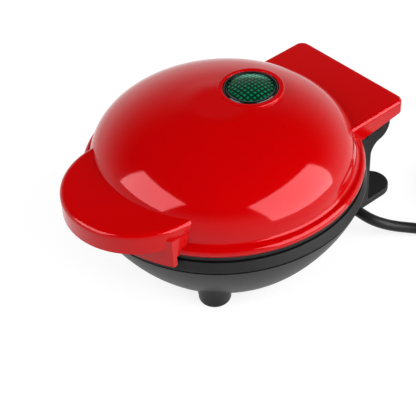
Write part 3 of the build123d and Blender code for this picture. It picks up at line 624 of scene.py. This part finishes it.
def soft_box(name, azimuth, elevation, distance, width, height, radiance):
    """A rectangular lamp that faces the object.

    Azimuth 0 is in front of the handle and 90 is at the right.
    """
    data = bpy.data.lights.new(name, "AREA")
    data.shape = "RECTANGLE"
    data.size = width
    data.size_y = height
    data.energy = radiance * math.pi * width * height
    lamp = bpy.data.objects.new(name, data)
    scene.collection.objects.link(lamp)
    side, rise = math.radians(azimuth), math.radians(elevation)
    toward = Vector(
        (
            math.sin(side) * math.cos(rise),
            -math.cos(side) * math.cos(rise),
            math.sin(rise),
        )
    )
    lamp.location = lamp_aim + toward * distance
    lamp.rotation_euler = toward.to_track_quat("Z", "Y").to_euler()
    return lamp


# Each box is a lamp for the light it spreads and, a little nearer, a lamp for its mirror image on the gloss.
light_distance = 1.3
shine_distance = 1.2
light_radiance = 4.212
shine_radiance = 7.2
for name, azimuth, elevation, width, height in (
    ("left_box", -23.5, 38, 0.98, 0.69),
    ("right_box", 114, 25, 1.46, 1.30),
):
    lamp = soft_box(f"{name}_light", azimuth, elevation, light_distance, width, height, light_radiance)
    lamp.visible_glossy = False
    lamp = soft_box(f"{name}_shine", azimuth, elevation, shine_distance, width, height, shine_radiance)
    lamp.visible_diffuse = False


def seen_rays(tree):
    """1 for rays from the camera and in mirror or clear surfaces, else 0."""
    path = tree.nodes.new("ShaderNodeLightPath")
    total = path.outputs["Is Camera Ray"]
    for other in ("Is Glossy Ray", "Is Transmission Ray"):
        node = tree.nodes.new("ShaderNodeMath")
        node.operation = "MAXIMUM"
        tree.links.new(total, node.inputs[0])
        tree.links.new(path.outputs[other], node.inputs[1])
        total = node.outputs["Value"]
    return total


# The room lights the object evenly. Its walls are seen white at the horizon and dark overhead.
room_strength = 0.45
wall_fade_from = 0.05
wall_fade_to = 0.70
wall_overhead = 0.02
world = bpy.data.worlds.new("studio")
world.use_nodes = True
scene.world = world
world_tree = world.node_tree
room_light = world_tree.nodes["Background"]
room_light.inputs["Color"].default_value = (1, 1, 1, 1)
room_light.inputs["Strength"].default_value = room_strength
wall_light = world_tree.nodes.new("ShaderNodeBackground")
wall_light.inputs["Color"].default_value = (1, 1, 1, 1)
sky_place = world_tree.nodes.new("ShaderNodeTexCoord")
sky_axes = world_tree.nodes.new("ShaderNodeSeparateXYZ")
world_tree.links.new(sky_place.outputs["Generated"], sky_axes.inputs["Vector"])
wall_fade = world_tree.nodes.new("ShaderNodeMapRange")
wall_fade.interpolation_type = "SMOOTHSTEP"
wall_fade.inputs["From Min"].default_value = wall_fade_from
wall_fade.inputs["From Max"].default_value = wall_fade_to
wall_fade.inputs["To Min"].default_value = 1.0
wall_fade.inputs["To Max"].default_value = wall_overhead
world_tree.links.new(sky_axes.outputs["Z"], wall_fade.inputs["Value"])
world_tree.links.new(wall_fade.outputs["Result"], wall_light.inputs["Strength"])
world_mix = world_tree.nodes.new("ShaderNodeMixShader")
world_tree.links.new(seen_rays(world_tree), world_mix.inputs["Fac"])
world_tree.links.new(room_light.outputs["Background"], world_mix.inputs[1])
world_tree.links.new(wall_light.outputs["Background"], world_mix.inputs[2])
world_tree.links.new(world_mix.outputs["Shader"], world_tree.nodes["World Output"].inputs["Surface"])

# The floor is seen near white, part of it as glow, so that the shadow on it stays soft.
floor_reach = 4.0
floor_grey = 0.62
floor_seen_grey = 0.28
floor_seen_glow = 0.79
floor_mesh = bpy.data.meshes.new("floor")
floor_mesh.from_pydata(
    [(x * floor_reach, y * floor_reach, 0) for x, y in ((-1, -1), (1, -1), (1, 1), (-1, 1))],
    [],
    [(0, 1, 2, 3)],
)
floor = bpy.data.objects.new("floor", floor_mesh)
scene.collection.objects.link(floor)
floor_material, floor_tree, floor_shader = new_material("floor_white")
floor_shader.inputs["Base Color"].default_value = (floor_grey, floor_grey, floor_grey, 1)
floor_shader.inputs["Roughness"].default_value = 0.9
floor_shader.inputs["Specular IOR Level"].default_value = 0.0
floor_seen = floor_tree.nodes.new("ShaderNodeBsdfDiffuse")
floor_seen.inputs["Color"].default_value = (floor_seen_grey, floor_seen_grey, floor_seen_grey, 1)
floor_glow = floor_tree.nodes.new("ShaderNodeEmission")
floor_glow.inputs["Strength"].default_value = floor_seen_glow
floor_both = floor_tree.nodes.new("ShaderNodeAddShader")
floor_tree.links.new(floor_seen.outputs["BSDF"], floor_both.inputs[0])
floor_tree.links.new(floor_glow.outputs["Emission"], floor_both.inputs[1])
floor_mix = floor_tree.nodes.new("ShaderNodeMixShader")
floor_tree.links.new(seen_rays(floor_tree), floor_mix.inputs["Fac"])
floor_tree.links.new(floor_shader.outputs["BSDF"], floor_mix.inputs[1])
floor_tree.links.new(floor_both.outputs["Shader"], floor_mix.inputs[2])
floor_tree.links.new(floor_mix.outputs["Shader"], floor_tree.nodes["Material Output"].inputs["Surface"])
floor_mesh.materials.append(floor_material)
